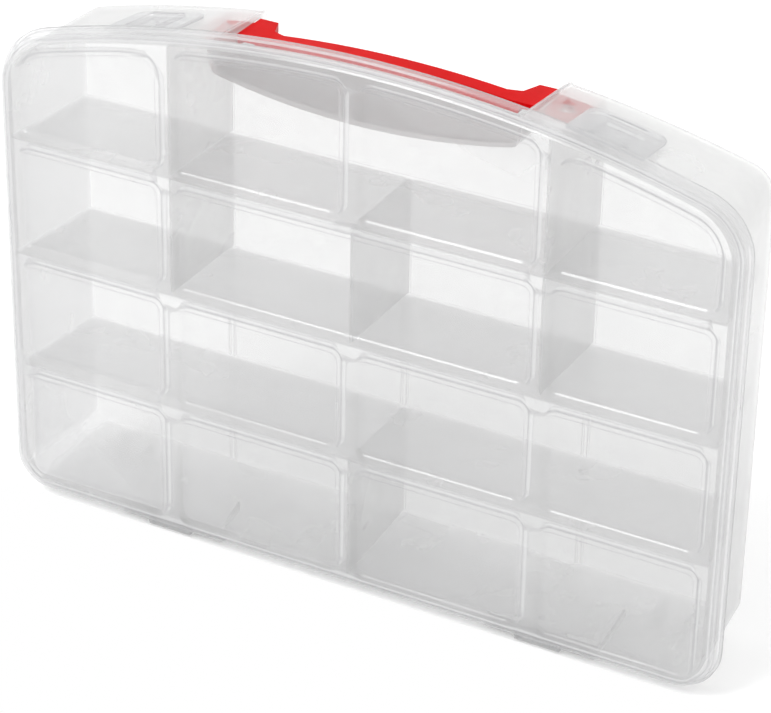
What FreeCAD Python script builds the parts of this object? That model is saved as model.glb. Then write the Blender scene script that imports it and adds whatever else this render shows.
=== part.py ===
"""Compartment organizer case with a clear hinged lid, two snap latches and a strap handle.

Millimetres. The case stands upright: +X to the right, +Y from the lid towards the back panel, +Z up.
The origin is on the floor, under the middle of the case. Depth d is measured back from the lid's face.
"""
import math
import os

import FreeCAD
import Part

Vector = FreeCAD.Vector

# Whole case
CASE_DEPTH = 61.0
RIM_DEPTH = 12.0
FAR = 400.0

# Lid
LID_HALF = 189.0
LID_BOTTOM = 2.5
LID_TOP = 273.8
LID_ARCH = 613.0
LID_TOP_CORNER = 30.0
LID_BOTTOM_CORNER = 20.0
LID_WALL = 1.6
LIP_STEP = 2.0
LIP_START = 7.0
BEZEL_ROUND = 4.5
PANEL_SPLIT = 7.5
PANEL_RECESS = 1.5
PANEL_BACK = PANEL_RECESS + LID_WALL
PANEL_TOP_INSET = 10.0
PANEL_CORNER = 5.0
PANEL_OUTER_CORNER = 12.0
CHANNEL_HALF = 3.3

# Panel columns and rows of the lid
COLUMN_INNER = (4.7, 91.0)
COLUMN_OUTER = (100.4, 177.3)
ROW_BOTTOM = (11.5, 67.8)
ROW_LOWER = (78.0, 128.9)
ROW_UPPER = (139.1, 189.7)
ROW_TOP_START = 199.5

# Tray
TRAY_FRONT = 3.5
TRAY_WALL = 1.8
BACK_THICK = 2.0
BACK_FRONT = CASE_DEPTH - BACK_THICK
RIM_SIZES = {"half": 183.0, "bottom": 7.5, "top": 269.0, "arch": 612.0, "top_corner": 26.0, "bottom_corner": 16.0}
END_SIZES = {"half": 178.0, "bottom": 12.5, "top": 265.3, "arch": 645.0, "top_corner": 15.0, "bottom_corner": 8.0}
SIDE_SPLIT = 165.0
MID_HEIGHT = 130.0

# Shelves and dividers
SHELF_THICK = 1.4
SHELF_FRONT = 2.0
SHELF_PITCH = 61.0
SHELF_LOWER = 73.0
SHELF_HEIGHTS = {
    "shelf_lower": SHELF_LOWER,
    "shelf_middle": SHELF_LOWER + SHELF_PITCH,
    "shelf_upper": SHELF_LOWER + 2 * SHELF_PITCH,
}
DIVIDER_PLANE = 95.5
DIVIDER_THICK = 1.4
DIVIDER_FRONT = 3.6
DIVIDER_GAP = 0.2
GUIDE_WIDE = 1.0
GUIDE_DEEP = 1.2

# Hand recess
RECESS_HALF = 77.0
RECESS_FLOOR = 242.2
RECESS_ARC = 349.0
RECESS_CORNER = 5.0
RECESS_WALL = 1.6
RECESS_FRONT = 10.0

# Handle
HANDLE_HALF = 76.0
HANDLE_FRONT = 31.0
BLOCK_INNER = 66.5
BLOCK_BACK = 53.0
BAR_BACK = 40.5
BAR_END = 56.5
NECK_X = 63.0
NECK_BACK = 43.7
BLOCK_TOP = 259.5
BLOCK_BOTTOM = 256.6
BAR_TOP = 262.9
BAR_RISE_START = 62.0
BAR_UNDER_END = 253.9
BAR_UNDER_MIDDLE = 257.2
BAR_UNDER_START = 66.0
TAB_ROOT = 74.5
TAB_END = 94.0
TAB_FRONT = 34.0
TAB_BACK = 54.0
TAB_ROOT_TOP = 256.8
TAB_END_TOP = 254.6
TAB_THICK = 2.1
TOOTH_X = 86.0
TOOTH_DEPTH = 43.0
TOOTH_REACH = 3.0
TOOTH_GAP = 1.2
LIFT = 2.0
SLIDE_GAP = 0.3

# Lid hinges
HINGE_DEPTH = 9.5
HINGE_HEIGHT = 3.0
HINGE_START = 72.0
HINGE_END = 128.0
HINGE_GAP = 0.4
KNUCKLE_LENGTH = 16.0
KNUCKLE_RADIUS = 3.0
LID_KNUCKLE_RADIUS = 2.8
PIN_RADIUS = 1.6
PIN_FIT = 0.07
NOTCH_FRONT = 5.5
BRIDGE_FRONT = 4.5
BRIDGE_BOTTOM = 1.0

# Latches
LATCH_X = 116.5
LATCH_HALF = 19.0
LATCH_LENGTH = 31.0
LATCH_THICK = 1.6
LATCH_CORNER = 8.0
LATCH_AXIS_DEPTH = 12.9
LATCH_AXIS_HEIGHT = 260.1
LATCH_PITCH = 6.1
LOOP_HALF = 9.5
LOOP_START = 3.0
LOOP_END = 26.0
LOOP_WIDE = 1.6
LOOP_HIGH = 1.2
CATCH_HALF = 6.0
CATCH_START = 17.0
CATCH_END = 21.0
CATCH_HIGH = 0.7

# Standing ribs and floor ribs
FOOT_PLACES = (141.0, 156.0)
FOOT_THICK = 1.8
FOOT_FRONT = 45.0
FOOT_BACK = 57.0
FOOT_TOP = 13.0
FIN_WIDE = 1.2
FIN_HIGH = 6.0


def at_depth(d):
    """Y of a depth behind the lid's face."""
    return d - CASE_DEPTH / 2


def block(x, d, z):
    """A box from its low and high X, depth and Z."""
    corner = Vector(x[0], at_depth(d[0]), z[0])
    return Part.makeBox(x[1] - x[0], d[1] - d[0], z[1] - z[0], corner)


def mirrored(shape):
    """The same shape on the other side of the case."""
    return shape.mirror(Vector(0, 0, 0), Vector(1, 0, 0))


def arched_wire(half, bottom, top, arch, top_corner, bottom_corner, d):
    """A case outline at one depth: flat bottom, straight sides, arched top, rounded corners."""
    y = at_depth(d)
    arch_centre = top - arch
    corner_x = half - top_corner
    reach = arch - top_corner
    corner_z = arch_centre + math.sqrt(reach ** 2 - corner_x ** 2)
    turn = math.atan2(corner_z - arch_centre, corner_x)
    meet_x = arch * math.cos(turn)
    meet_z = arch_centre + arch * math.sin(turn)
    middle_x = corner_x + top_corner * math.cos(turn / 2)
    middle_z = corner_z + top_corner * math.sin(turn / 2)
    low_x = half - bottom_corner
    low_z = bottom + bottom_corner
    diagonal = bottom_corner * math.sqrt(0.5)

    def point(x, z):
        return Vector(x, y, z)

    edges = [
        Part.LineSegment(point(-low_x, bottom), point(low_x, bottom)),
        Part.Arc(point(low_x, bottom), point(low_x + diagonal, low_z - diagonal), point(half, low_z)),
        Part.LineSegment(point(half, low_z), point(half, corner_z)),
        Part.Arc(point(half, corner_z), point(middle_x, middle_z), point(meet_x, meet_z)),
        Part.Arc(point(meet_x, meet_z), point(0, top), point(-meet_x, meet_z)),
        Part.Arc(point(-meet_x, meet_z), point(-middle_x, middle_z), point(-half, corner_z)),
        Part.LineSegment(point(-half, corner_z), point(-half, low_z)),
        Part.Arc(point(-half, low_z), point(-low_x - diagonal, low_z - diagonal), point(-low_x, bottom)),
    ]
    return Part.Wire([edge.toShape() for edge in edges])


def lid_slab(inset, front, back):
    """A plate with the lid's outline, drawn in by an inset, between two depths."""
    wire = arched_wire(LID_HALF - inset, LID_BOTTOM + inset, LID_TOP - inset, LID_ARCH - inset,
                       LID_TOP_CORNER - inset, LID_BOTTOM_CORNER - inset, front)
    return Part.Face(wire).extrude(Vector(0, back - front, 0))


def round_front(shape, front, radius):
    """Round the edge between a slab's front face and its sides."""
    y = at_depth(front)
    edges = [e for e in shape.Edges if all(abs(v.Point.y - y) < 0.001 for v in e.Vertexes)]
    return shape.makeFillet(radius, edges)


def tray_wire(d, inset):
    """The tray's outline at one depth. It tapers from the rim to the back panel."""
    share = (d - RIM_DEPTH) / (CASE_DEPTH - RIM_DEPTH)
    size = {key: RIM_SIZES[key] + share * (END_SIZES[key] - RIM_SIZES[key]) for key in RIM_SIZES}
    return arched_wire(size["half"] - inset, size["bottom"] + inset, size["top"] - inset, size["arch"] - inset,
                       size["top_corner"] - inset, size["bottom_corner"] - inset, d)


def tray_outer():
    """The tray's whole outside as one tapered solid."""
    return Part.makeLoft([tray_wire(TRAY_FRONT, 0), tray_wire(CASE_DEPTH, 0)], True, True)


def tray_inner(extra=0.0):
    """The space inside the tray's walls, drawn in by an extra gap."""
    inset = TRAY_WALL + extra
    return Part.makeLoft([tray_wire(SHELF_FRONT, inset), tray_wire(BACK_FRONT, inset)], True, True)


def recess_prism(grow, front, back):
    """The hand recess: a shallow arc below, upright sides, open above."""
    half = RECESS_HALF + grow
    floor = RECESS_FLOOR - grow
    arc = RECESS_ARC + grow
    corner = RECESS_CORNER + grow
    centre = RECESS_FLOOR + RECESS_ARC
    reach = arc - corner
    corner_x = half - corner
    corner_z = centre - math.sqrt(reach ** 2 - corner_x ** 2)
    turn = math.atan2(centre - corner_z, corner_x)
    meet_x = arc * math.cos(turn)
    meet_z = centre - arc * math.sin(turn)
    middle_x = corner_x + corner * math.cos(turn / 2)
    middle_z = corner_z - corner * math.sin(turn / 2)
    roof = LID_TOP + LID_WALL
    y = at_depth(front)

    def point(x, z):
        return Vector(x, y, z)

    edges = [
        Part.LineSegment(point(-half, roof), point(-half, corner_z)),
        Part.Arc(point(-half, corner_z), point(-middle_x, middle_z), point(-meet_x, meet_z)),
        Part.Arc(point(-meet_x, meet_z), point(0, floor), point(meet_x, meet_z)),
        Part.Arc(point(meet_x, meet_z), point(middle_x, middle_z), point(half, corner_z)),
        Part.LineSegment(point(half, corner_z), point(half, roof)),
        Part.LineSegment(point(half, roof), point(-half, roof)),
    ]
    wire = Part.Wire([edge.toShape() for edge in edges])
    return Part.Face(wire).extrude(Vector(0, back - front, 0))


def row_limits():
    """Bottom and top of each row of compartments, between shelf faces."""
    half = SHELF_THICK / 2
    lower, middle, upper = (SHELF_LOWER + step * SHELF_PITCH for step in range(3))
    return {
        "bottom": (0.0, lower - half),
        "lower": (lower + half, middle - half),
        "second": (middle + half, upper - half),
        "upper": (upper + half, LID_TOP),
    }


def make_shelf(height, inner):
    """A full-width shelf between the tray's side walls."""
    half = SHELF_THICK / 2
    return block((-FAR, FAR), (SHELF_FRONT, BACK_FRONT), (height - half, height + half)).common(inner)


def make_divider(x, row, slim_inner):
    """A removable divider that stands between two shelves or walls."""
    low, high = row_limits()[row]
    half = DIVIDER_THICK / 2
    blank = block((x - half, x + half), (DIVIDER_FRONT, BACK_FRONT - DIVIDER_GAP),
                  (low + DIVIDER_GAP, high - DIVIDER_GAP))
    return blank.common(slim_inner)


def guide_rib(x, row, inner):
    """One upright rib on the back panel."""
    low, high = row_limits()[row]
    rib = block((x - GUIDE_WIDE / 2, x + GUIDE_WIDE / 2), (BACK_FRONT - GUIDE_DEEP, BACK_FRONT), (low, high))
    return rib.common(inner)


def make_tray_back(outer, inner):
    """The back panel, with the hand recess cut out and pairs of guide ribs for the dividers."""
    back = outer.common(block((-FAR, FAR), (BACK_FRONT, CASE_DEPTH + 1), (0, FAR)))
    reach = DIVIDER_THICK / 2 + DIVIDER_GAP + GUIDE_WIDE / 2
    ribs = []
    for row in row_limits():
        planes = (-DIVIDER_PLANE, DIVIDER_PLANE) if row == "upper" else (-DIVIDER_PLANE, 0, DIVIDER_PLANE)
        for plane in planes:
            ribs += [guide_rib(plane + side * reach, row, inner) for side in (-1, 1)]
    return back.cut(recess_prism(RECESS_WALL, RECESS_FRONT, CASE_DEPTH + 1)).fuse(ribs)


def make_tray_side(shell):
    """The right-hand side wall with its two corners."""
    return shell.common(block((SIDE_SPLIT, FAR), (0, BACK_FRONT), (0, FAR)))


def x_cylinder(radius, start, end):
    """A cylinder along the hinge line."""
    return Part.makeCylinder(radius, end - start, Vector(start, at_depth(HINGE_DEPTH), HINGE_HEIGHT), Vector(1, 0, 0))


def tray_knuckle(start, inner):
    """One hinge eye and the arm that carries it from the tray's bottom wall."""
    end = start + KNUCKLE_LENGTH
    arm = block((start, end), (HINGE_DEPTH, HINGE_DEPTH + KNUCKLE_RADIUS), (HINGE_HEIGHT + 1.2, 9.0)).cut(inner)
    eye = x_cylinder(KNUCKLE_RADIUS, start, end).fuse(arm)
    return eye.cut(x_cylinder(PIN_RADIUS + PIN_FIT, start - 1, end + 1))


def floor_fin(x, front, back, inner):
    """A low triangular rib on the tray's floor, highest at its back end."""
    floor = RIM_SIZES["bottom"]
    points = [
        Vector(x, at_depth(front), floor),
        Vector(x, at_depth(back), floor),
        Vector(x, at_depth(back), floor + TRAY_WALL + FIN_HIGH),
        Vector(x, at_depth(front), floor + TRAY_WALL),
    ]
    face = Part.Face(Part.makePolygon(points + points[:1]))
    return face.extrude(Vector(FIN_WIDE, 0, 0)).common(inner)


def make_tray_base(shell, inner):
    """The bottom wall with hinge eyes, two pairs of standing ribs and two floor ribs."""
    base = shell.common(block((-SIDE_SPLIT, SIDE_SPLIT), (0, BACK_FRONT), (0, MID_HEIGHT)))
    extras = []
    for place in FOOT_PLACES:
        foot = block((place, place + FOOT_THICK), (FOOT_FRONT, FOOT_BACK), (0, FOOT_TOP)).cut(inner)
        extras += [foot, mirrored(foot)]
    for start in (HINGE_START, HINGE_END - KNUCKLE_LENGTH):
        knuckle = tray_knuckle(start, inner)
        extras += [knuckle, mirrored(knuckle)]
    extras.append(floor_fin(131.0, 4.0, 32.0, inner))
    extras.append(floor_fin(-72.0, 8.0, 23.0, inner))
    return base.fuse(extras).removeSplitter()


def triangle_prism(reach, low, high):
    """A three-cornered post that points away from the case's middle."""
    y = at_depth(TOOTH_DEPTH)
    points = [
        Vector(TOOTH_X - reach, y - reach, low),
        Vector(TOOTH_X - reach, y + reach, low),
        Vector(TOOTH_X + reach, y, low),
    ]
    return Part.Face(Part.makePolygon(points + points[:1])).extrude(Vector(0, 0, high - low))


def make_tray_top(shell, outer, inner):
    """The right-hand top wall, with the latch's catch and the tooth that keeps the handle's tab in."""
    limits = block((RECESS_HALF + RECESS_WALL, SIDE_SPLIT), (0, BACK_FRONT), (MID_HEIGHT, FAR))
    wall = shell.common(limits)
    catch_zone = block((LATCH_X - CATCH_HALF, LATCH_X + CATCH_HALF), (CATCH_START, CATCH_END), (MID_HEIGHT, FAR))
    lifted = outer.copy()
    lifted.translate(Vector(0, 0, CATCH_HIGH))
    catch = lifted.common(catch_zone).cut(inner)
    tooth = triangle_prism(TOOTH_REACH, TAB_END_TOP - TAB_THICK, FAR).common(inner)
    return wall.fuse([catch, tooth]).removeSplitter()


def make_hand_recess(shell, outer):
    """The curved wall of the hand recess, its front wall and the strip of top wall before it."""
    strip = shell.common(block((-RECESS_HALF - RECESS_WALL, RECESS_HALF + RECESS_WALL),
                               (0, RECESS_FRONT), (MID_HEIGHT, FAR)))
    cup = recess_prism(RECESS_WALL, RECESS_FRONT, CASE_DEPTH)
    cup = cup.cut(recess_prism(0, RECESS_FRONT + RECESS_WALL, CASE_DEPTH + 1)).common(outer)
    slot = block((TAB_ROOT, TAB_END), (TAB_FRONT - SLIDE_GAP, TAB_BACK + SLIDE_GAP),
                 (TAB_ROOT_TOP - TAB_THICK - 2 * SLIDE_GAP, TAB_ROOT_TOP + LIFT + SLIDE_GAP))
    return cup.cut([slot, mirrored(slot)]).fuse(strip).removeSplitter()


def handle_plan():
    """The handle seen from above: bar, two necks and two end blocks."""
    left = []
    right = []
    for x, d in ((HANDLE_HALF, HANDLE_FRONT + 1), (HANDLE_HALF, BLOCK_BACK), (BLOCK_INNER, BLOCK_BACK),
                 (NECK_X, NECK_BACK), (BAR_END, BAR_BACK)):
        right.append(Vector(x, at_depth(d), BAR_UNDER_END - 1))
        left.insert(0, Vector(-x, at_depth(d), BAR_UNDER_END - 1))
    points = right + left
    face = Part.Face(Part.makePolygon(points + points[:1]))
    return face.extrude(Vector(0, 0, BAR_TOP - BAR_UNDER_END + 2))


def handle_elevation():
    """The handle seen from the front: arched bar between level end blocks."""
    y = at_depth(HANDLE_FRONT - 1)

    def point(x, z):
        return Vector(x, y, z)

    step = BAR_UNDER_START + 1
    root_bottom = TAB_ROOT_TOP - TAB_THICK
    edges = [
        Part.LineSegment(point(-HANDLE_HALF, root_bottom), point(-HANDLE_HALF, BLOCK_TOP)),
        Part.LineSegment(point(-HANDLE_HALF, BLOCK_TOP), point(-BAR_RISE_START, BLOCK_TOP)),
        Part.Arc(point(-BAR_RISE_START, BLOCK_TOP), point(0, BAR_TOP), point(BAR_RISE_START, BLOCK_TOP)),
        Part.LineSegment(point(BAR_RISE_START, BLOCK_TOP), point(HANDLE_HALF, BLOCK_TOP)),
        Part.LineSegment(point(HANDLE_HALF, BLOCK_TOP), point(HANDLE_HALF, root_bottom)),
        Part.LineSegment(point(HANDLE_HALF, root_bottom), point(TAB_ROOT, root_bottom)),
        Part.LineSegment(point(TAB_ROOT, root_bottom), point(TAB_ROOT, BLOCK_BOTTOM)),
        Part.LineSegment(point(TAB_ROOT, BLOCK_BOTTOM), point(step, BLOCK_BOTTOM)),
        Part.LineSegment(point(step, BLOCK_BOTTOM), point(BAR_UNDER_START, BAR_UNDER_END)),
        Part.Arc(point(BAR_UNDER_START, BAR_UNDER_END), point(0, BAR_UNDER_MIDDLE),
                 point(-BAR_UNDER_START, BAR_UNDER_END)),
        Part.LineSegment(point(-BAR_UNDER_START, BAR_UNDER_END), point(-step, BLOCK_BOTTOM)),
        Part.LineSegment(point(-step, BLOCK_BOTTOM), point(-TAB_ROOT, BLOCK_BOTTOM)),
        Part.LineSegment(point(-TAB_ROOT, BLOCK_BOTTOM), point(-TAB_ROOT, root_bottom)),
        Part.LineSegment(point(-TAB_ROOT, root_bottom), point(-HANDLE_HALF, root_bottom)),
    ]
    wire = Part.Wire([edge.toShape() for edge in edges])
    return Part.Face(wire).extrude(Vector(0, CASE_DEPTH, 0))


def handle_tab():
    """The right-hand end tab: it slopes like the top wall above it and has a hole for the tooth."""
    y = at_depth(TAB_FRONT)
    start = HANDLE_HALF - 1
    points = [
        Vector(start, y, TAB_ROOT_TOP),
        Vector(TAB_END, y, TAB_END_TOP),
        Vector(TAB_END, y, TAB_END_TOP - TAB_THICK),
        Vector(start, y, TAB_ROOT_TOP - TAB_THICK),
    ]
    tab = Part.Face(Part.makePolygon(points + points[:1])).extrude(Vector(0, TAB_BACK - TAB_FRONT, 0))
    return tab.cut(triangle_prism(TOOTH_REACH + TOOTH_GAP, RECESS_FLOOR, BAR_TOP))


def make_handle():
    """The strap handle in one piece, with an end tab on each side under the tray's top wall."""
    body = handle_plan().common(handle_elevation())
    tab = handle_tab()
    return body.fuse([tab, mirrored(tab)]).removeSplitter()


def depth_edges(shape, wanted):
    """The edges parallel to Y that pass a test on their X and Z."""
    found = []
    for edge in shape.Edges:
        first, last = edge.Vertexes[0].Point, edge.Vertexes[-1].Point
        if abs(first.x - last.x) + abs(first.z - last.z) < 0.001 and wanted(first.x, first.z):
            found.append(edge)
    return found


def panel_pocket(x, z, outer_corner):
    """A recessed lid panel: a rounded rectangle, cut off above by the arch."""
    pocket = block(x, (-1, PANEL_RECESS), z).common(lid_slab(PANEL_TOP_INSET, -2, PANEL_RECESS + 1))
    far = max(x)

    def is_outer_top(edge_x, edge_z):
        return outer_corner and abs(edge_x - far) < 0.01 and edge_z > z[0] + 1

    corners = [(e.Vertexes[0].X, e.Vertexes[0].Z) for e in depth_edges(pocket, lambda ex, ez: True)]
    small = [corner for corner in corners if not is_outer_top(*corner)]
    if outer_corner:
        pocket = pocket.makeFillet(PANEL_OUTER_CORNER, depth_edges(pocket, is_outer_top))

    def is_small(edge_x, edge_z):
        return any(abs(edge_x - cx) + abs(edge_z - cz) < 0.01 for cx, cz in small)

    return pocket.makeFillet(PANEL_CORNER, depth_edges(pocket, is_small))


def make_lid_panel():
    """The lid's clear face: recessed panels between raised bands that are hollow behind."""
    face = lid_slab(PANEL_SPLIT, 0, PANEL_BACK)
    pockets = []
    for row in (ROW_BOTTOM, ROW_LOWER):
        inner = panel_pocket(COLUMN_INNER, row, False)
        outer = panel_pocket(COLUMN_OUTER, row, False)
        pockets += [inner, outer, mirrored(inner), mirrored(outer)]
    pockets.append(panel_pocket((-COLUMN_INNER[1], COLUMN_INNER[1]), ROW_UPPER, False))
    outer = panel_pocket(COLUMN_OUTER, ROW_UPPER, False)
    top_inner = panel_pocket(COLUMN_INNER, (ROW_TOP_START, FAR), False)
    top_outer = panel_pocket(COLUMN_OUTER, (ROW_TOP_START, FAR), True)
    for pocket in (outer, top_inner, top_outer):
        pockets += [pocket, mirrored(pocket)]
    channels = []
    behind = (LID_WALL, PANEL_BACK + 1)
    for height in SHELF_HEIGHTS.values():
        channels.append(block((-FAR, FAR), behind, (height - CHANNEL_HALF, height + CHANNEL_HALF)))
    for plane in (-DIVIDER_PLANE, DIVIDER_PLANE):
        channels.append(block((plane - CHANNEL_HALF, plane + CHANNEL_HALF), behind, (ROW_BOTTOM[0], FAR)))
    for z in ((ROW_BOTTOM[0], ROW_LOWER[1] + LID_WALL), (ROW_TOP_START - LID_WALL, FAR)):
        channels.append(block((-CHANNEL_HALF, CHANNEL_HALF), behind, z))
    channels = [channel.common(lid_slab(PANEL_TOP_INSET, 0, RIM_DEPTH)) if channel.BoundBox.ZLength > 20
                else channel for channel in channels]
    return face.cut(pockets).cut(channels)


def hinge_notch():
    """The room in the lid's bottom edge for one hinge."""
    eyes = block((HINGE_START - HINGE_GAP, HINGE_END + HINGE_GAP), (NOTCH_FRONT, RIM_DEPTH + 1), (0, 7))
    start, end = lid_knuckle_span()
    return eyes.fuse(block((start, end), (BRIDGE_FRONT, RIM_DEPTH + 1), (0, 7)))


def lid_knuckle_span():
    """Start and end of the lid's knuckle, between the tray's two eyes."""
    return HINGE_START + KNUCKLE_LENGTH + HINGE_GAP, HINGE_END - KNUCKLE_LENGTH - HINGE_GAP


def make_lid_rim():
    """The lid's rounded bezel, its skirt and the stepped-out lip around the tray."""
    outside = round_front(lid_slab(LIP_STEP, 0, RIM_DEPTH), 0, BEZEL_ROUND)
    outside = outside.fuse(lid_slab(0, LIP_START, RIM_DEPTH))
    inside = round_front(lid_slab(LIP_STEP + LID_WALL, LID_WALL, RIM_DEPTH + 1), LID_WALL, BEZEL_ROUND - LID_WALL)
    lip_inside = lid_slab(LID_WALL, LIP_START + LID_WALL, RIM_DEPTH + 1)
    notch = hinge_notch()
    return outside.cut([inside, lip_inside, lid_slab(PANEL_SPLIT, -1, RIM_DEPTH), notch, mirrored(notch)])


def make_lid_hinge():
    """The lid's right-hand knuckle with a stub of pin at each end and a bridge to the lid's wall."""
    start, end = lid_knuckle_span()
    knuckle = x_cylinder(LID_KNUCKLE_RADIUS, start, end)
    pin = x_cylinder(PIN_RADIUS, HINGE_START + 1, HINGE_END - 1)
    bridge_top = LID_BOTTOM + LIP_STEP + LID_WALL
    bridge = block((start, end), (BRIDGE_FRONT, HINGE_DEPTH), (BRIDGE_BOTTOM, bridge_top))
    return knuckle.fuse([pin, bridge]).removeSplitter()


def rounded_tongue(half, start, end, low, high, corner):
    """A tongue in local axes whose two far corners are rounded."""
    blank = Part.makeBox(2 * half, end - start, high - low, Vector(-half, start, low))
    corners = [e for e in blank.Edges if abs(e.Vertexes[0].Y - end) < 0.001 and abs(e.Vertexes[1].Y - end) < 0.001
               and abs(e.Vertexes[0].X - e.Vertexes[1].X) < 0.001]
    return blank.makeFillet(corner, corners)


def make_latch():
    """The right-hand latch: a tongue over the tray's top wall with a raised U-shaped loop."""
    half = LATCH_THICK / 2
    tongue = rounded_tongue(LATCH_HALF, -LATCH_THICK / 4, LATCH_LENGTH, -half, half, LATCH_CORNER)
    top = half + LOOP_HIGH
    loop = rounded_tongue(LOOP_HALF, LOOP_START, LOOP_END, half, top, LOOP_HALF / 2)
    room = rounded_tongue(LOOP_HALF - LOOP_WIDE, LOOP_START - 1, LOOP_END - LOOP_WIDE, half, top + 1,
                          LOOP_HALF / 2 - LOOP_WIDE / 2)
    latch = tongue.fuse(loop.cut(room)).removeSplitter()
    latch.rotate(Vector(0, 0, 0), Vector(1, 0, 0), -LATCH_PITCH)
    lean = math.degrees(math.asin(LATCH_X / RIM_SIZES["arch"]))
    latch.rotate(Vector(0, 0, 0), Vector(0, 1, 0), lean)
    latch.translate(Vector(LATCH_X, at_depth(LATCH_AXIS_DEPTH), LATCH_AXIS_HEIGHT))
    return latch


def make_parts():
    """Every piece by node name."""
    outer = tray_outer()
    inner = tray_inner()
    slim_inner = tray_inner(DIVIDER_GAP)
    shell = outer.common(block((-FAR, FAR), (0, BACK_FRONT), (0, FAR))).cut(inner)
    side = make_tray_side(shell)
    top = make_tray_top(shell, outer, inner)
    hinge = make_lid_hinge()
    latch = make_latch()
    parts = {
        "tray_back": make_tray_back(outer, inner),
        "tray_side_right": side,
        "tray_side_left": mirrored(side),
        "tray_base": make_tray_base(shell, inner),
        "tray_top_right": top,
        "tray_top_left": mirrored(top),
        "hand_recess": make_hand_recess(shell, outer),
        "divider_upper_left": make_divider(-DIVIDER_PLANE, "upper", slim_inner),
        "divider_upper_right": make_divider(DIVIDER_PLANE, "upper", slim_inner),
        "divider_second_left": make_divider(-DIVIDER_PLANE, "second", slim_inner),
        "divider_second_centre": make_divider(0, "second", slim_inner),
        "divider_second_right": make_divider(DIVIDER_PLANE, "second", slim_inner),
        "divider_bottom_centre": make_divider(0, "bottom", slim_inner),
        "lid_panel": make_lid_panel(),
        "lid_rim": make_lid_rim(),
        "lid_hinge_right": hinge,
        "lid_hinge_left": mirrored(hinge),
        "latch_right": latch,
        "latch_left": mirrored(latch),
        "handle": make_handle(),
    }
    for name, height in SHELF_HEIGHTS.items():
        parts[name] = make_shelf(height, inner)
    return parts


os.makedirs("parts", exist_ok=True)
for node, shape in make_parts().items():
    shape.exportStep("parts/" + node + ".step")
    box = shape.BoundBox
    print(node, len(shape.Solids), shape.isValid(), round(shape.Volume), [round(value, 1) for value in
          (box.XMin, box.XMax, box.YMin, box.YMax, box.ZMin, box.ZMax)])
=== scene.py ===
"""Looks of the compartment organizer: clear moulded lid and tray, red strap handle. Metres, row frame."""
import math

import bmesh
import bpy
from mathutils import Matrix, Vector


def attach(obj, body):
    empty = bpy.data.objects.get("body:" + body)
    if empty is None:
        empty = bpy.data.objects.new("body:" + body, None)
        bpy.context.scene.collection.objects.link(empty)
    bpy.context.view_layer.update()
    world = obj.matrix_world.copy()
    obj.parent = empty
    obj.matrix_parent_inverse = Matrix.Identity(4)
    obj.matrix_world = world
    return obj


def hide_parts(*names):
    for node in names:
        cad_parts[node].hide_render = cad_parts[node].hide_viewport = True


MM = 0.001
DEPTH_MIDDLE = 30.5

# Lid outline and sheet, in millimetres
LID_HALF = 189.0
LID_BOTTOM = 2.5
LID_TOP = 273.6
LID_ARCH = 613.0
TOP_CORNER = 30.0
BOTTOM_CORNER = 20.0
FACE_INSET = 6.6
RECESS = 1.5
SHEET = 1.6
BEZEL_RADIUS = 4.5
LIP_STEP = 2.0
LIP_FRONT = 7.0
LIP_BACK = 12.0
PANEL_SOFTNESS = 2.3
STRAIGHT_LOW = 30.0
STRAIGHT_HIGH = 215.0

# Recessed panels: columns as distances from the middle, rows as heights
COLUMN_LINES = (4.7, 91.0, 100.4, 177.3)
ROW_LINES = (11.5, 67.8, 78.0, 128.9, 139.1, 189.7, 199.5)
ARCH_INSET = 10.0
PANEL_CORNER = 5.0
END_PANEL_CORNER = 12.0
FINE_STEPS = (-1.0, -0.4, 0.0, 0.4, 0.8, 1.3, 1.9, 2.6, 3.4, 4.4, 5.6)

# Tray: half width, bottom, top, arch, top corner and bottom corner, at its rim and at its back
TRAY_RIM = (183.0, 7.5, 269.0, 612.0, 26.0, 16.0)
TRAY_END = (178.0, 12.5, 265.3, 645.0, 15.0, 8.0)
RIM_DEPTH = 12.0
END_DEPTH = 61.0
TRAY_FRONT = 3.5
TRAY_WALL = 1.8
TRAY_DEPTHS = (TRAY_FRONT, RIM_DEPTH, 24.0, 36.0, 48.0)
BACK_ROUNDING = 2.4
SHELVES = (73.0, 134.0, 195.0)
SHELF_THICK = 1.4
SHELF_FRONT = 2.0
SHELF_BACK = 59.5
DIVIDER_X = 95.5
RIB_OFFSET = 1.4
RIB_HALF = 0.5
RIB_FRONT = 57.8
RIB_BACK = 59.4
FIN_HIGH = 6.0
FIN_THICK = 1.2

# Hand recess
GRIP_HALF = 77.0
GRIP_FLOOR = 242.2
GRIP_ARC = 349.0
GRIP_CORNER = 5.0
GRIP_WALL = 1.6
GRIP_OPEN_TOP = 280.0
GRIP_FRONT = 10.0
PAST_BACK = 70.0
TAB_X = 83.0
TOOTH_X = 86.0
TOOTH_DEPTH = 43.0
TOOTH_REACH = 3.0
TOOTH_BOTTOM = 252.5

# Latches
LATCH_X = 116.5
LATCH_DEPTH = 12.9
LATCH_HEIGHT = 260.1
LATCH_PITCH = 6.1
LATCH_HALF = 19.0
LATCH_START = -0.4
LATCH_END = 31.0
LATCH_CORNER = 8.0
LOOP_HALF = 8.2
LOOP_END = 24.4
LOOP_HIGH = 1.15
CATCH_HALF = 6.0
CATCH_FRONT = 17.0
CATCH_BACK = 21.0
CATCH_HIGH = 0.7


# ---------- materials ----------

def new_material(name):
    """An empty node material and its output node."""
    material = bpy.data.materials.new(name)
    material.use_nodes = True
    nodes = material.node_tree.nodes
    nodes.clear()
    output = nodes.new("ShaderNodeOutputMaterial")
    return material, nodes, material.node_tree.links, output


def feed(links, socket, value):
    """Set a socket to a number, or link it to another node's output."""
    if isinstance(value, float):
        socket.default_value = value
    else:
        links.new(value, socket)


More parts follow.
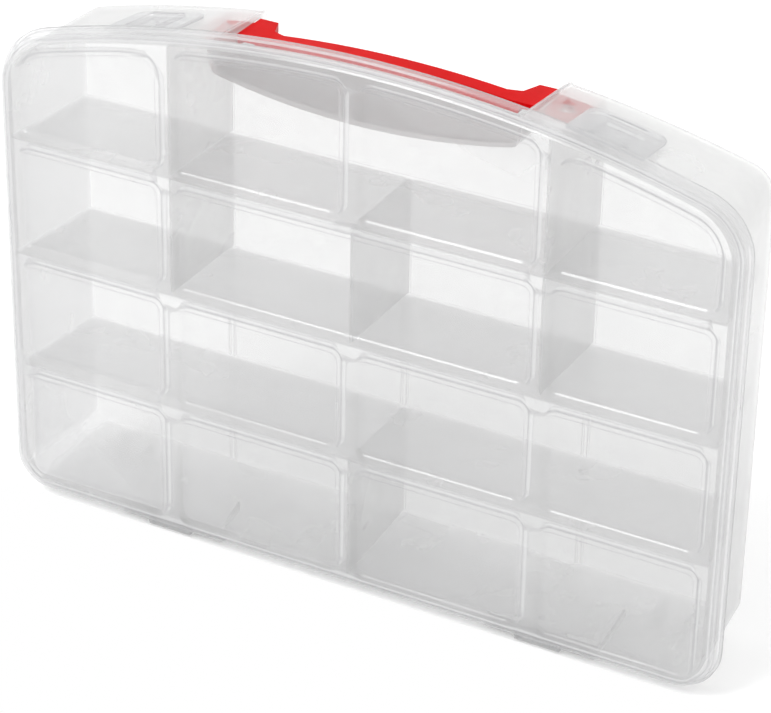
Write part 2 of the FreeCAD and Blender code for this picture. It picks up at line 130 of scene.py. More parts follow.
def math_node(nodes, links, operation, *values):
    """A maths node whose inputs are numbers or other nodes' outputs."""
    node = nodes.new("ShaderNodeMath")
    node.operation = operation
    for socket, value in zip(node.inputs, values):
        feed(links, socket, value)
    return node


def mixed(nodes, links, share, first, second):
    """Two shaders mixed by a share."""
    mix = nodes.new("ShaderNodeMixShader")
    feed(links, mix.inputs["Fac"], share)
    links.new(first, mix.inputs[1])
    links.new(second, mix.inputs[2])
    return mix.outputs["Shader"]


def blended_colour(nodes, links, share, first, second):
    """Two colours mixed by a share."""
    colour = nodes.new("ShaderNodeMix")
    colour.data_type = "RGBA"
    colour.inputs["A"].default_value = (*first, 1)
    colour.inputs["B"].default_value = (*second, 1)
    links.new(share, colour.inputs["Factor"])
    return colour.outputs["Result"]


def noise_value(nodes, links, scale, low, high):
    """A noise in object space mapped to a range of values, and the noise node itself."""
    coords = nodes.new("ShaderNodeTexCoord")
    noise = nodes.new("ShaderNodeTexNoise")
    noise.inputs["Scale"].default_value = scale
    noise.inputs["Detail"].default_value = 3.0
    links.new(coords.outputs["Object"], noise.inputs["Vector"])
    remap = nodes.new("ShaderNodeMapRange")
    remap.inputs["From Min"].default_value = 0.3
    remap.inputs["From Max"].default_value = 0.7
    remap.inputs["To Min"].default_value = low
    remap.inputs["To Max"].default_value = high
    links.new(noise.outputs["Fac"], remap.inputs["Value"])
    return remap.outputs["Result"], noise


def uneven_normal(nodes, links, noise, strength, distance):
    """A faint unevenness of the surface that follows a noise."""
    bump = nodes.new("ShaderNodeBump")
    bump.inputs["Strength"].default_value = strength
    bump.inputs["Distance"].default_value = distance
    links.new(noise.outputs["Fac"], bump.inputs["Height"])
    return bump.outputs["Normal"]


def milky_body(nodes, links, facing, tint, painted_edge_shade):
    """Scattered light, partly back and partly through, with painted shade: greyer where the surface is seen
    edge on, standing in for the dark surroundings seen through the plastic's edges.
    """
    # Painted shade: the body colour darkens towards the edge colour as the surface turns edge on.
    rim = math_node(nodes, links, "POWER", facing, 4.0)
    colour = blended_colour(nodes, links, rim.outputs["Value"], tint, painted_edge_shade)
    milk = nodes.new("ShaderNodeBsdfDiffuse")
    glow = nodes.new("ShaderNodeBsdfTranslucent")
    for scatter in (milk, glow):
        links.new(colour, scatter.inputs["Color"])
    return mixed(nodes, links, 0.55, milk.outputs["BSDF"], glow.outputs["BSDF"])


def shine_share(nodes, links, normal, inner_shine):
    """How much of the light the surface mirrors: less on faces seen from inside the plastic."""
    fresnel = nodes.new("ShaderNodeFresnel")
    fresnel.inputs["IOR"].default_value = 1.42
    links.new(normal, fresnel.inputs["Normal"])
    side = nodes.new("ShaderNodeNewGeometry").outputs["Backfacing"]
    kept = math_node(nodes, links, "MULTIPLY_ADD", side, inner_shine - 1.0, 1.0)
    return math_node(nodes, links, "MULTIPLY", fresnel.outputs["Fac"], kept.outputs["Value"]).outputs["Value"]


def clear_plastic(name, tint, painted_edge_shade, clearness, veil, edge_veil, roughness, inner_shine):
    """Milky clear plastic: see-through face on, cloudier at grazing angles and greyer there by painted shade,
    softly shiny.
    """
    material, nodes, links, output = new_material(name)
    grazing = nodes.new("ShaderNodeLayerWeight")
    grazing.inputs["Blend"].default_value = 0.3
    facing = grazing.outputs["Facing"]
    see = nodes.new("ShaderNodeBsdfTransparent")
    see.inputs["Color"].default_value = (clearness, clearness, clearness, 1)
    body = milky_body(nodes, links, facing, tint, painted_edge_shade)
    haze, noise = noise_value(nodes, links, 60.0, *veil)
    cloud = math_node(nodes, links, "MULTIPLY_ADD", facing, edge_veil, haze)
    cloud.use_clamp = True
    cloudy = mixed(nodes, links, cloud.outputs["Value"], see.outputs["BSDF"], body)
    normal = uneven_normal(nodes, links, noise, 0.06, 0.0004)
    shine = nodes.new("ShaderNodeBsdfGlossy")
    shine.inputs["Color"].default_value = (0.88, 0.88, 0.885, 1)
    links.new(normal, shine.inputs["Normal"])
    rough, _ = noise_value(nodes, links, 25.0, roughness * 0.8, roughness * 1.3)
    links.new(rough, shine.inputs["Roughness"])
    share = shine_share(nodes, links, normal, inner_shine)
    links.new(mixed(nodes, links, share, cloudy, shine.outputs["BSDF"]), output.inputs["Surface"])
    return material


def solid_plastic(name, dark, light, roughness):
    """Coloured plastic with a little unevenness in colour and shine."""
    material, nodes, links, output = new_material(name)
    shader = nodes.new("ShaderNodeBsdfPrincipled")
    mix, noise = noise_value(nodes, links, 90.0, 0.0, 1.0)
    links.new(blended_colour(nodes, links, mix, dark, light), shader.inputs["Base Color"])
    rough, _ = noise_value(nodes, links, 40.0, roughness * 0.85, roughness * 1.2)
    links.new(rough, shader.inputs["Roughness"])
    shader.inputs["IOR"].default_value = 1.13
    links.new(uneven_normal(nodes, links, noise, 0.05, 0.0003), shader.inputs["Normal"])
    links.new(shader.outputs["BSDF"], output.inputs["Surface"])
    return material


def floor_material():
    """A pale matt floor that glows a little, so that its shadows stay light."""
    material, nodes, links, output = new_material("floor")
    shader = nodes.new("ShaderNodeBsdfPrincipled")
    shader.inputs["Roughness"].default_value = 0.85
    tone, _ = noise_value(nodes, links, 3.0, 0.80, 0.83)
    colour = nodes.new("ShaderNodeCombineColor")
    for channel in ("Red", "Green", "Blue"):
        links.new(tone, colour.inputs[channel])
    for socket in ("Base Color", "Emission Color"):
        links.new(colour.outputs["Color"], shader.inputs[socket])
    shader.inputs["Emission Strength"].default_value = 0.26
    links.new(shader.outputs["BSDF"], output.inputs["Surface"])
    return material


# ---------- lid ----------

def lid_ends(x, inset):
    """Lowest and highest Z of the lid's outline, drawn in by an inset, at one X."""
    half = LID_HALF - inset
    x = min(abs(x), half)
    low_r = BOTTOM_CORNER - inset
    low = LID_BOTTOM + inset
    over = x - (half - low_r)
    if over > 0:
        low += low_r - math.sqrt(max(low_r ** 2 - over ** 2, 0))
    arch = LID_ARCH - inset
    centre = LID_TOP - LID_ARCH
    top_r = TOP_CORNER - inset
    corner_x = half - top_r
    reach = arch - top_r
    corner_z = centre + math.sqrt(reach ** 2 - corner_x ** 2)
    if x <= corner_x * arch / reach:
        return low, centre + math.sqrt(arch ** 2 - x ** 2)
    return low, corner_z + math.sqrt(max(top_r ** 2 - (x - corner_x) ** 2, 0))


def outline_normal(x, z):
    """Unit direction in which the lid's outline grows outward at a point on it."""
    side = 1 if x >= 0 else -1
    half = LID_HALF - FACE_INSET
    low_x = half - (BOTTOM_CORNER - FACE_INSET)
    low_z = LID_BOTTOM + BOTTOM_CORNER
    centre = LID_TOP - LID_ARCH
    corner_x = LID_HALF - TOP_CORNER
    corner_z = centre + math.sqrt((LID_ARCH - TOP_CORNER) ** 2 - corner_x ** 2)
    turn_x = corner_x * (LID_ARCH - FACE_INSET) / (LID_ARCH - TOP_CORNER)
    if z <= low_z:
        if abs(x) <= low_x:
            return 0.0, -1.0
        away = Vector((abs(x) - low_x, z - low_z)).normalized()
        return side * away.x, away.y
    if z > corner_z and abs(x) > turn_x:
        away = Vector((abs(x) - corner_x, z - corner_z)).normalized()
        return side * away.x, away.y
    if abs(x) >= half - 0.01:
        return float(side), 0.0
    away = Vector((x, z - centre)).normalized()
    return away.x, away.y


def rounded_box(x, z, low_x, high_x, low_z, high_z, radius):
    """Distance inside a rounded rectangle; negative outside."""
    dx = abs(x - (low_x + high_x) / 2) - (high_x - low_x) / 2 + radius
    dz = abs(z - (low_z + high_z) / 2) - (high_z - low_z) / 2 + radius
    outside = math.hypot(max(dx, 0), max(dz, 0))
    return radius - outside - min(max(dx, dz), 0)


def pocket_depth(x, z):
    """How far inside the nearest recessed panel a point of the lid's face is."""
    inner, edge, outer, far = COLUMN_LINES
    ax = abs(x)
    depths = []
    for row in range(3):
        low, high = ROW_LINES[2 * row], ROW_LINES[2 * row + 1]
        start = -edge if row == 2 else inner
        depths.append(rounded_box(ax, z, outer, far, low, high, PANEL_CORNER))
        depths.append(rounded_box(ax, z, start, edge, low, high, PANEL_CORNER))
    arch_inside = (LID_ARCH - ARCH_INSET) - math.hypot(x, z - (LID_TOP - LID_ARCH))
    for start, end, corner in ((inner, edge, PANEL_CORNER), (outer, far, END_PANEL_CORNER)):
        box_inside = rounded_box(ax, z, start, end, ROW_LINES[6], 400.0, PANEL_CORNER)
        near_side = ax > end - corner or ax < start + corner
        gaps = (corner - box_inside, corner - arch_inside)
        rounded = near_side and min(gaps) > 0
        depths.append(corner - math.hypot(*gaps) if rounded else min(arch_inside, box_inside))
    return max(depths)


def smooth_drop(distance, start, width):
    """0 before start, 1 after start + width, with a soft S between."""
    t = min(max((distance - start) / width, 0.0), 1.0)
    return t * t * (3 - 2 * t)


def line_positions(edges, low, high, coarse, directions):
    """Grid lines: close together inside each recessed edge and far apart elsewhere."""
    values = {round(low, 3), round(high, 3)}
    for edge, direction in zip(edges, directions):
        for step in FINE_STEPS:
            values.add(round(edge + direction * step, 3))
    values = sorted(v for v in values if low <= v <= high)
    filled = []
    for a, b in zip(values, values[1:]):
        pieces = max(1, math.ceil((b - a) / coarse))
        filled += [a + (b - a) * k / pieces for k in range(pieces)]
    return filled + [values[-1]]


def mesh_object(name, vertices, faces, material, smooth=True):
    """A mesh object from points in millimetres, with its normals turned outward."""
    mesh = bpy.data.meshes.new(name)
    mesh.from_pydata([tuple(c * MM for c in v) for v in vertices], [], faces)
    work = bmesh.new()
    work.from_mesh(mesh)
    bmesh.ops.recalc_face_normals(work, faces=work.faces)
    work.to_mesh(mesh)
    work.free()
    mesh.materials.append(material)
    for polygon in mesh.polygons:
        polygon.use_smooth = smooth
    mesh.validate()
    obj = bpy.data.objects.new(name, mesh)
    bpy.context.scene.collection.objects.link(obj)
    return obj


def grid_faces(columns, rows):
    """Faces of a grid's front sheet and, turned round, of the back sheet that follows it."""
    count = columns * rows
    faces = []
    for r in range(rows - 1):
        for c in range(columns - 1):
            a = r * columns + c
            quad = (a, a + 1, a + columns + 1, a + columns)
            faces.append(quad)
            faces.append(tuple(count + v for v in reversed(quad)))
    return faces


def grid_border(columns, rows):
    """The points around a grid's outside, in order."""
    loop = list(range(columns))
    loop += [r * columns + columns - 1 for r in range(1, rows)]
    loop += [(rows - 1) * columns + c for c in range(columns - 2, -1, -1)]
    return loop + [r * columns for r in range(rows - 2, 0, -1)]


def bridge(first, second):
    """Faces between two closed loops of the same length."""
    size = len(first)
    return [(first[(i + 1) % size], first[i], second[i], second[(i + 1) % size]) for i in range(size)]


def face_height(x, z):
    """A grid line's real height at one X: the grid's top and bottom follow the outline."""
    fixed_low, fixed_high, band = STRAIGHT_LOW, STRAIGHT_HIGH, 12.0
    low_edge, top_mid = LID_BOTTOM + FACE_INSET, LID_TOP - FACE_INSET
    low, high = lid_ends(x, FACE_INSET)
    if z < fixed_low:
        return low + (z - low_edge) * (fixed_low - low) / (fixed_low - low_edge)
    if z <= fixed_high:
        return z
    keep = max(high - band, fixed_high + 0.3 * (high - fixed_high))
    if z < top_mid - band:
        return fixed_high + (z - fixed_high) * (keep - fixed_high) / (top_mid - band - fixed_high)
    return keep + (z - top_mid + band) * (high - keep) / band


def lid_lines():
    """The grid lines of the lid's face: X positions and nominal heights."""
    half = LID_HALF - FACE_INSET
    inner, edge, outer, far = COLUMN_LINES
    x_edges = [-far, -outer, -edge, -inner, inner, edge, outer, far]
    x_lines = line_positions(x_edges, -half, half, 8.0, [1, -1, 1, -1, 1, -1, 1, -1])
    corner_gaps = (0.25, 1.0, 2.2, 8.0, 11.5, 15.0, 19.0)
    x_lines += [side * (half - gap) for side in (-1, 1) for gap in corner_gaps]
    x_lines = sorted(set(round(v, 3) for v in x_lines))
    row_sides = [1, -1, 1, -1, 1, -1, 1]
    z_lines = line_positions(ROW_LINES, LID_BOTTOM + FACE_INSET, STRAIGHT_HIGH, 8.0, row_sides)
    upper = line_positions([LID_TOP - ARCH_INSET], STRAIGHT_HIGH, LID_TOP - FACE_INSET, 6.0, [-1])
    return x_lines, z_lines + [v for v in upper if v > STRAIGHT_HIGH]


def skirt_profile():
    """From the face's front edge round the lip to its back edge, as (inset from the outline, depth)."""
    middle = LIP_STEP + BEZEL_RADIUS
    turns = [math.radians(15 * k) for k in range(1, 7)]
    front = [(middle - BEZEL_RADIUS * math.sin(t), BEZEL_RADIUS - BEZEL_RADIUS * math.cos(t)) for t in turns]
    step = [(LIP_STEP, LIP_FRONT - 0.6), (LIP_STEP, LIP_FRONT - 0.1), (LIP_STEP - 0.25, LIP_FRONT)]
    lip = [(0.5, LIP_FRONT + 0.1), (0.1, LIP_FRONT + 0.3), (0.0, LIP_FRONT + 0.7), (0.0, LIP_BACK - 0.4),
           (0.35, LIP_BACK), (SHEET - 0.35, LIP_BACK), (SHEET, LIP_BACK - 0.4)]
    inside = [(SHEET, LIP_FRONT + 1.9), (SHEET + 0.3, LIP_FRONT + SHEET), (LIP_STEP + 1.3, LIP_FRONT + 1.5),
              (LIP_STEP + SHEET, LIP_FRONT + 1.2)]
    inner_radius = BEZEL_RADIUS - SHEET
    turns = [math.radians(90 - 15 * k) for k in range(6)]
    back = [(middle - inner_radius * math.sin(t), BEZEL_RADIUS - inner_radius * math.cos(t)) for t in turns]
    return front + step + lip + inside + back


def build_lid(material):
    """The whole lid as one moulded sheet: recessed panels, hollow bands, rounded bezel, skirt and lip."""
    x_lines, z_lines = lid_lines()
    columns, rows = len(x_lines), len(z_lines)
    points = [(x, face_height(x, z)) for z in z_lines for x in x_lines]
    insides = [pocket_depth(x, z) for x, z in points]
    fronts = [RECESS * smooth_drop(inside, -0.5, PANEL_SOFTNESS) for inside in insides]
    backs = [SHEET + RECESS * smooth_drop(inside, -2.2, PANEL_SOFTNESS) for inside in insides]
    vertices = []
    for depths in (fronts, backs):
        vertices += [(x, depth - DEPTH_MIDDLE, z) for (x, z), depth in zip(points, depths)]
    faces = grid_faces(columns, rows)
    loop = grid_border(columns, rows)
    rings = [loop]
    for inset, depth in skirt_profile():
        start = len(vertices)
        rings.append(list(range(start, start + len(loop))))
        grow = FACE_INSET - inset
        for index in loop:
            x, z = points[index]
            nx, nz = outline_normal(x, z)
            vertices.append((x + nx * grow, depth - DEPTH_MIDDLE, z + nz * grow))
    rings.append([len(points) + v for v in loop])
    for first, second in zip(rings, rings[1:]):
        faces += bridge(first, second)
    lid = mesh_object("lid_moulding", vertices, faces, material)
    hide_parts("lid_panel", "lid_rim")
    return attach(lid, "lid")


# ---------- pieces from the CAD ----------

def copy_node(frame, node, name):
    """A copy of a CAD node's mesh as a new object."""
    copied = bpy.data.objects.new(name, frame["nodes"][node].data.copy())
    bpy.context.scene.collection.objects.link(copied)
    return copied


def apply_modifiers(obj):
    """Make the modifiers' result the object's own mesh."""
    bpy.context.view_layer.update()
    depsgraph = bpy.context.evaluated_depsgraph_get()
    result = bpy.data.meshes.new_from_object(obj.evaluated_get(depsgraph))
    obj.modifiers.clear()
    obj.data = result
    return obj


def weld(obj):
    """Join the loose triangles' shared corners and dissolve flat edges."""
    work = bmesh.new()
    work.from_mesh(obj.data)
    bmesh.ops.remove_doubles(work, verts=work.verts, dist=0.01 * MM)
    flat = math.radians(0.6)
    bmesh.ops.dissolve_limit(work, angle_limit=flat, verts=work.verts, edges=work.edges)
    work.to_mesh(obj.data)
    work.free()
    return obj


def set_material(obj, material):
    """Give a whole mesh one material."""
    obj.data.materials.clear()
    obj.data.materials.append(material)
    for polygon in obj.data.polygons:
        polygon.material_index = 0


def soften(obj, width):
    """Round the sharp edges and shade smoothly."""
    bevel = obj.modifiers.new("round", "BEVEL")
    bevel.width = width * MM
    bevel.segments = 3
    bevel.limit_method = "ANGLE"
    bevel.angle_limit = math.radians(35)
    bevel.use_clamp_overlap = True
    apply_modifiers(obj)
    for polygon in obj.data.polygons:
        polygon.use_smooth = True
    smooth = obj.modifiers.new("normals", "WEIGHTED_NORMAL")
    smooth.keep_sharp = True
    return apply_modifiers(obj)


def tray_size(depth, inset):
    """The tray's half width, bottom, top, arch and corners at one depth, drawn in by an inset."""
    share = (depth - RIM_DEPTH) / (END_DEPTH - RIM_DEPTH)
    size = [rim + share * (end - rim) for rim, end in zip(TRAY_RIM, TRAY_END)]
    size[1] += 2 * inset
    return [value - inset for value in size]


def arc_points(centre_x, centre_z, radius, start, end, steps):
    """Points along an arc between two angles, without its first point."""
    angles = [start + (end - start) * k / steps for k in range(1, steps + 1)]
    return [(centre_x + radius * math.cos(a), centre_z + radius * math.sin(a)) for a in angles]


def both_sides(right, depth, skip_last):
    """A whole outline at one depth from its right half, which starts on the middle line."""
    last = -1 if skip_last else None
    left = [(-x, z) for x, z in reversed(right[1:last])]
    return [(x, depth - DEPTH_MIDDLE, z) for x, z in right + left]


def tray_loop(depth, inset):
    """Points around the tray's outline at one depth, always the same number of them."""
    half, bottom, top, arch, top_r, low_r = tray_size(depth, inset)
    centre = top - arch
    corner_x, low_z = half - top_r, bottom + low_r
    corner_z = centre + math.sqrt((arch - top_r) ** 2 - corner_x ** 2)
    turn = math.atan2(corner_z - centre, corner_x)
    quarter = math.pi / 2
    right = [((half - low_r) * k / 12, bottom) for k in range(13)]
    right += arc_points(half - low_r, low_z, low_r, -quarter, 0, 9)
    right += [(half, low_z + (corner_z - low_z) * k / 9) for k in range(1, 10)]
    right += arc_points(corner_x, corner_z, top_r, 0, turn, 12)
    right += arc_points(0, centre, arch, turn, quarter, 40)
    return both_sides(right, depth, True)


def closed_loft(name, loops, material):
    """A closed solid through a list of loops, capped at both ends."""
    size = len(loops[0])
    vertices = [point for loop in loops for point in loop]
    faces = [tuple(range(size))]
    for k in range(len(loops) - 1):
        for i in range(size):
            j = (i + 1) % size
            faces.append((k * size + j, k * size + i, (k + 1) * size + i, (k + 1) * size + j))
    faces.append(tuple(reversed(range(len(vertices) - size, len(vertices)))))
    return mesh_object(name, vertices, faces, material)


def recess_loop(depth, grow):
    """The hand recess's outline at one depth: shallow arc, rounded ends, upright sides."""
    half, arc, corner = GRIP_HALF + grow, GRIP_ARC + grow, GRIP_CORNER + grow
    centre = GRIP_FLOOR + GRIP_ARC
    corner_x = half - corner
    corner_z = centre - math.sqrt((arc - corner) ** 2 - corner_x ** 2)
    turn = math.atan2(centre - corner_z, corner_x)
    right = [(0.0, centre - arc)] + arc_points(0, centre, arc, -math.pi / 2, -turn, 24)
    right += arc_points(corner_x, corner_z, corner, -turn, 0, 8) + [(half, GRIP_OPEN_TOP)]
    return both_sides(right, depth, False)


def boolean(target, tools, operation):
    """Cut or join solids and keep only the result."""
    group = bpy.data.collections.new("tools")
    bpy.context.scene.collection.children.link(group)
    for tool in tools:
        for held in list(tool.users_collection):
            held.objects.unlink(tool)
        group.objects.link(tool)
    change = target.modifiers.new("change", "BOOLEAN")
    change.operation = operation
    change.solver = "EXACT"
    change.operand_type = "COLLECTION"
    change.collection = group
    apply_modifiers(target)
    for tool in tools:
        bpy.data.objects.remove(tool)
    bpy.data.collections.remove(group)
    return target


def plain_box(name, low, high, material):
    """A closed box from two corners in millimetres, with depths for Y."""
    x, d, z = zip(low, high)
    y = [value - DEPTH_MIDDLE for value in d]
    loops = [[(x[0], v, z[0]), (x[1], v, z[0]), (x[1], v, z[1]), (x[0], v, z[1])] for v in y]
    return closed_loft(name, loops, material)


def floor_fin(x, front, back, material):
    """A low triangular rib on the tray's floor, highest at its back end."""
    low_front, low_back = (tray_size(depth, TRAY_WALL / 2)[1] for depth in (front, back))
    high_front = TRAY_RIM[1] + TRAY_WALL
    outline = [(front, low_front), (back, low_back), (back, high_front + FIN_HIGH), (front, high_front)]
    loops = [[(place, d - DEPTH_MIDDLE, z) for d, z in outline] for place in (x, x + FIN_THICK)]
    return closed_loft("fin", loops, material)


def top_height(x, depth, inset):
    """Height of the tray's arched top at one place, drawn in by an inset."""
    size = tray_size(depth, inset)
    top, arch = size[2], size[3]
    return top - arch + math.sqrt(arch ** 2 - x ** 2)


def latch_catch(side, material):
    """The low pad on the tray's arched top that the latch closes over."""
    low_x, high_x = sorted(side * (LATCH_X + end) for end in (-CATCH_HALF, CATCH_HALF))
    places = [low_x + (high_x - low_x) * k / 6 for k in range(7)]
    loops = []
    for depth in (CATCH_FRONT, CATCH_BACK):
        below = [(x, depth - DEPTH_MIDDLE, top_height(x, depth, TRAY_WALL / 2)) for x in places]
        above = [(x, depth - DEPTH_MIDDLE, top_height(x, depth, -CATCH_HIGH)) for x in reversed(places)]
        loops.append(below + above)
    return closed_loft("pad", loops, material)


def tab_tooth(side, material):
    """The three-cornered post that keeps the handle's tab in."""
    corners = ((-1, -1), (-1, 1), (1, 0))
    outline = [(TOOTH_X + dx * TOOTH_REACH, TOOTH_DEPTH + dd * TOOTH_REACH) for dx, dd in corners]
    heights = (TOOTH_BOTTOM, top_height(TOOTH_X, TOOTH_DEPTH, 1.1))
    loops = [[(side * x, d - DEPTH_MIDDLE, z) for x, d in outline] for z in heights]
    return closed_loft("tooth", loops, material)


def tray_shell(material):
    """The tapered tray with a rounded back edge, hollow and open in front, with the hand recess cut out."""
    loops = [tray_loop(d, 0) for d in (*TRAY_DEPTHS, END_DEPTH - BACK_ROUNDING)]
    for turn in (math.radians(18 * k) for k in range(1, 6)):
        depth = END_DEPTH - BACK_ROUNDING + BACK_ROUNDING * math.sin(turn)
        loops.append(tray_loop(depth, BACK_ROUNDING * (1 - math.cos(turn))))
    tray = closed_loft("tray_moulding", loops, material)
    room_depths = (-4.0, *TRAY_DEPTHS, END_DEPTH - 2.0)
    room = closed_loft("room", [tray_loop(d, TRAY_WALL) for d in room_depths], material)
    boolean(tray, [room], "DIFFERENCE")
    gap = closed_loft("gap", [recess_loop(d, 0.9) for d in (GRIP_FRONT + 0.8, PAST_BACK)], material)
    return boolean(tray, [gap], "DIFFERENCE")


def hand_cup(material):
    """The hand recess's curved wall, closed in front, with a slot at each end for the handle's tab."""
    cup = closed_loft("cup", [recess_loop(d, GRIP_WALL) for d in (GRIP_FRONT, END_DEPTH - 0.05)], material)
    hollow = closed_loft("hollow", [recess_loop(d, 0) for d in (GRIP_FRONT + GRIP_WALL, PAST_BACK)], material)
    boolean(cup, [hollow], "DIFFERENCE")
    outside_loops = [tray_loop(d, 0.02) for d in (*TRAY_DEPTHS, END_DEPTH)]
    boolean(cup, [closed_loft("outside", outside_loops, material)], "INTERSECT")
    slots = [plain_box("slot", (side * TAB_X - 9.0, 33.7, 254.1), (side * TAB_X + 9.0, 54.3, 259.1), material)
             for side in (-1, 1)]
    return boolean(cup, slots, "DIFFERENCE")


def shelf_sheet(height, material):
    """One full-width shelf, a little wider in front than at the back."""
    corners = []
    for depth, order in ((SHELF_FRONT, (-1, 1)), (SHELF_BACK, (1, -1))):
        reach = tray_size(depth, TRAY_WALL - 0.05)[0]
        corners += [(side * reach, depth - DEPTH_MIDDLE) for side in order]
    levels = (height - SHELF_THICK / 2, height + SHELF_THICK / 2)
    return closed_loft("shelf", [[(x, y, z) for x, y in corners] for z in levels], material)


def guide_ribs(material):
    """Pairs of upright ribs on the tray's back that hold the dividers' edges."""
    ribs = []
    levels = (10.0, *SHELVES, 246.0)
    for number, (low, high) in enumerate(zip(levels, levels[1:])):
        planes = (-DIVIDER_X, DIVIDER_X) if number == 3 else (-DIVIDER_X, 0.0, DIVIDER_X)
        for middle in (plane + side for plane in planes for side in (-RIB_OFFSET, RIB_OFFSET)):
            corners = (middle - RIB_HALF, RIB_FRONT, low), (middle + RIB_HALF, RIB_BACK, high)
            ribs.append(plain_box("rib", *corners, material))
    return ribs


def build_tray(frame, material):
    """The tray as one moulding, with its hinge eyes and standing ribs taken from the CAD."""
    tray = tray_shell(material)
    parts = [hand_cup(material)]
    parts += [shelf_sheet(height, material) for height in SHELVES]
    parts += guide_ribs(material)
    parts += [floor_fin(131.0, 4.0, 32.0, material), floor_fin(-72.0, 8.0, 23.0, material)]
    for side in (-1, 1):
        parts += [latch_catch(side, material), tab_tooth(side, material)]
    boolean(tray, parts, "UNION")
    base = weld(copy_node(frame, "tray_base", "base_copy"))
    underside = plain_box("underside", (-160.0, 5.0, -2.0), (160.0, 58.0, 9.3), material)
    boolean(base, [underside], "INTERSECT")
    boolean(tray, [base], "UNION")
    set_material(tray, material)
    for polygon in tray.data.polygons:
        polygon.use_smooth = True
    tray.data.set_sharp_from_angle(angle=math.radians(28))
    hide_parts("tray_back", "tray_side_left", "tray_side_right", "tray_base", "tray_top_left",
                "tray_top_right", "hand_recess", "shelf_lower", "shelf_middle", "shelf_upper")
    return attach(tray, "tray")


def latch_reach(x):
    """How far the latch's rounded end reaches at one X."""
    over = abs(x) - (LATCH_HALF - LATCH_CORNER)
    if over <= 0:
        return LATCH_END
    return LATCH_END - LATCH_CORNER + math.sqrt(LATCH_CORNER ** 2 - over ** 2)


def latch_relief(x, y):
    """Height of the U-shaped loop, the dip inside it and the small nib, over the latch's top."""
    legs = abs(abs(x) - LOOP_HALF) if y < LOOP_END - 0.4 else 99.0
    bar = abs(y - LOOP_END) if abs(x) < LOOP_HALF else math.hypot(abs(x) - LOOP_HALF, y - LOOP_END)
    near = min(legs, bar) if y > 3.0 else 99.0
    ridge = LOOP_HIGH * (1 - smooth_drop(near, 0.75, 0.8))
    across = smooth_drop(LOOP_HALF - abs(x), 1.4, 0.8)
    along = smooth_drop(LOOP_END - y, 1.5, 1.0) * smooth_drop(y, 4.0, 2.0)
    dip = -0.55 * across * along
    nib = 0.9 * (1 - smooth_drop(math.hypot(x, y - 15.0), 0.4, 1.6))
    return max(ridge + dip, dip) + nib


def latch_points():
    """The latch's top and bottom sheets in its own frame, and the number of columns and rows."""
    columns, rows = 101, 87
    thick = 0.8
    tops, bottoms = [], []
    for r in range(rows):
        for c in range(columns):
            x = -LATCH_HALF + 2 * LATCH_HALF * c / (columns - 1)
            share = r / (rows - 1)
            y = LATCH_START + share * (latch_reach(x) - LATCH_START)
            margin = min(LATCH_HALF - abs(x), latch_reach(x) - y)
            rounding = 0.4 * (1 - smooth_drop(margin, 0.0, 0.7))
            tops.append(Vector((x, y, thick - rounding + latch_relief(x, y))))
            bottoms.append(Vector((x, y, rounding - thick)))
    return tops + bottoms, columns, rows


def build_latch(side, material):
    """A latch tongue with rounded edges, a raised U-shaped loop and a small nib inside it."""
    points, columns, rows = latch_points()
    loop = grid_border(columns, rows)
    faces = grid_faces(columns, rows) + bridge(loop, [columns * rows + v for v in loop])
    lean = Matrix.Rotation(math.asin(LATCH_X / TRAY_RIM[3]), 4, "Y")
    pitch = Matrix.Rotation(math.radians(-LATCH_PITCH), 4, "X")
    place = Matrix.Translation((LATCH_X, LATCH_DEPTH - DEPTH_MIDDLE, LATCH_HEIGHT)) @ lean @ pitch
    placed = [place @ point for point in points]
    name = "latch_right" if side > 0 else "latch_left"
    if side < 0:
        placed = [Vector((-v.x, v.y, v.z)) for v in placed]
    latch = mesh_object(name + "_moulding", placed, faces, material)
    latch.data.set_sharp_from_angle(angle=math.radians(50))
    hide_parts(name)
    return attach(latch, name)


# ---------- stage ----------

def add_floor():
    """A pale floor that ends just in front of the hinge, so that the opened lid stays in sight."""
    far, front, level = 9000, -26, -0.5
    corners = [(-far, front, level), (far, front, level), (far, far, level), (-far, far, level)]
    mesh_object("floor", corners, [(0, 1, 2, 3)], floor_material(), False)


def add_light():
    """A white surround and one soft key light from above on the left."""
    world = bpy.data.worlds.new("surround")
    world.use_nodes = True
    background = world.node_tree.nodes["Background"]
    background.inputs["Color"].default_value = (1.0, 1.0, 1.0, 1)
    background.inputs["Strength"].default_value = 1.0
    bpy.context.scene.world = world
    bpy.context.scene.view_settings.view_transform = "Standard"
    place = Vector((-0.6, -1.1, 1.7))
    data = bpy.data.lights.new("key", "AREA")
    data.shape = "DISK"
    data.size = 0.9
    data.energy = 25.0
    lamp = bpy.data.objects.new("key", data)
    lamp.location = place
    lamp.rotation_euler = (Vector((0, 0, 0.14)) - place).to_track_quat("-Z", "Y").to_euler()
    bpy.context.scene.collection.objects.link(lamp)


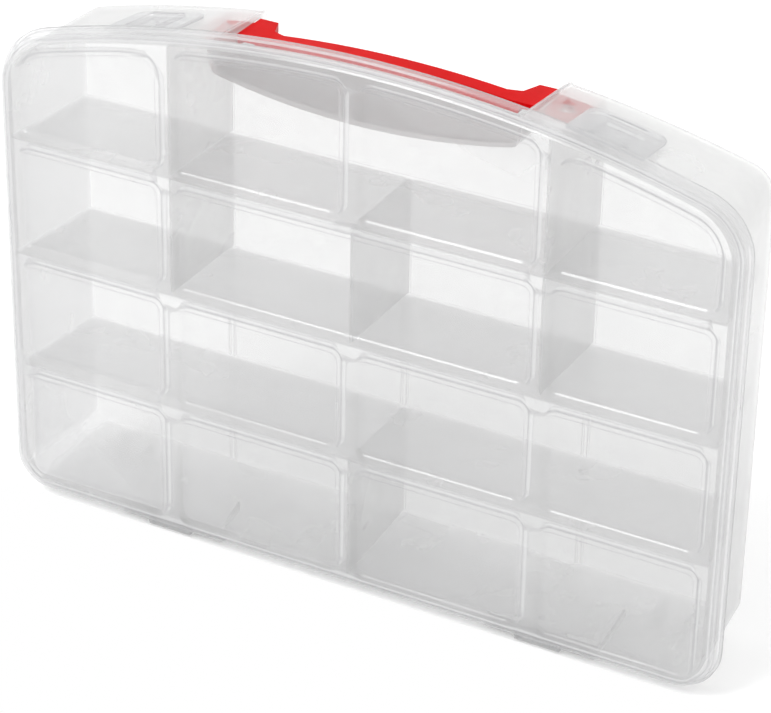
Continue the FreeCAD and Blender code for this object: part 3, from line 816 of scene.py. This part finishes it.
def add_camera():
    """The main view: from the right and thirty degrees above, turned slightly about its own line of sight."""
    back = Vector((0.40631, -0.76908, 0.49338)).normalized()
    level = Vector((0, 0, 1)).cross(back).normalized()
    above = back.cross(level)
    roll = math.radians(1.133)
    right = level * math.cos(roll) + above * math.sin(roll)
    up = above * math.cos(roll) - level * math.sin(roll)
    data = bpy.data.cameras.new("camera")
    data.sensor_fit = "HORIZONTAL"
    data.sensor_width = 36.0
    data.lens = 147.76
    data.clip_start = 0.05
    data.clip_end = 60.0
    camera = bpy.data.objects.new("camera", data)
    turn = Matrix((right, up, back)).transposed().to_4x4()
    camera.matrix_world = Matrix.Translation((0.60237, -1.13248, 0.84165)) @ turn
    bpy.context.scene.collection.objects.link(camera)
    bpy.context.scene.camera = camera


def build_handle(frame, material):
    """The strap handle from its CAD shape, with rounded edges."""
    grip = weld(copy_node(frame, "handle", "handle_soft"))
    set_material(grip, material)
    soften(grip, 0.9)
    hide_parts("handle")
    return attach(grip, "handle")


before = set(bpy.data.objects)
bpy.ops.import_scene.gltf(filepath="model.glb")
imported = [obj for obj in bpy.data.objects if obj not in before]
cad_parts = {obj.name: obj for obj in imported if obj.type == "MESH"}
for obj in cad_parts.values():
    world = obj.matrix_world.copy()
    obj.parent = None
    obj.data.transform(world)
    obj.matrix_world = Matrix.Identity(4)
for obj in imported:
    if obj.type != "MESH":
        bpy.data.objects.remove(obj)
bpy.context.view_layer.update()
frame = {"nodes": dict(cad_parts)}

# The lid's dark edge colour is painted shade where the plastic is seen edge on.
lid_material = clear_plastic("lid_clear", tint=(0.91, 0.91, 0.92), painted_edge_shade=(0.18, 0.19, 0.21),
                             clearness=0.972, veil=(0.09, 0.12), edge_veil=0.42, roughness=0.16,
                             inner_shine=0.6)
# The tray's dark edge colour is painted shade where the plastic is seen edge on.
tray_material = clear_plastic("tray_clear", tint=(0.98, 0.98, 0.97), painted_edge_shade=(0.20, 0.20, 0.22),
                              clearness=0.966, veil=(0.13, 0.17), edge_veil=0.30, roughness=0.30,
                              inner_shine=0.4)
divider_material = clear_plastic("divider_clear", tint=(0.98, 0.98, 0.97), painted_edge_shade=(0.92, 0.92, 0.92),
                                 clearness=0.99, veil=(0.20, 0.26), edge_veil=0.18, roughness=0.30,
                                 inner_shine=0.4)
red_material = solid_plastic("handle_red", (0.47, 0.0002, 0.0008), (0.54, 0.0005, 0.0015), 0.36)

build_lid(lid_material)
build_tray(frame, tray_material)
for node, shape in frame["nodes"].items():
    if node.startswith("divider_"):
        set_material(shape, divider_material)
    elif node.startswith("lid_hinge_"):
        set_material(shape, lid_material)
for side in (-1, 1):
    build_latch(side, lid_material)
build_handle(frame, red_material)
add_floor()
add_light()
add_camera()
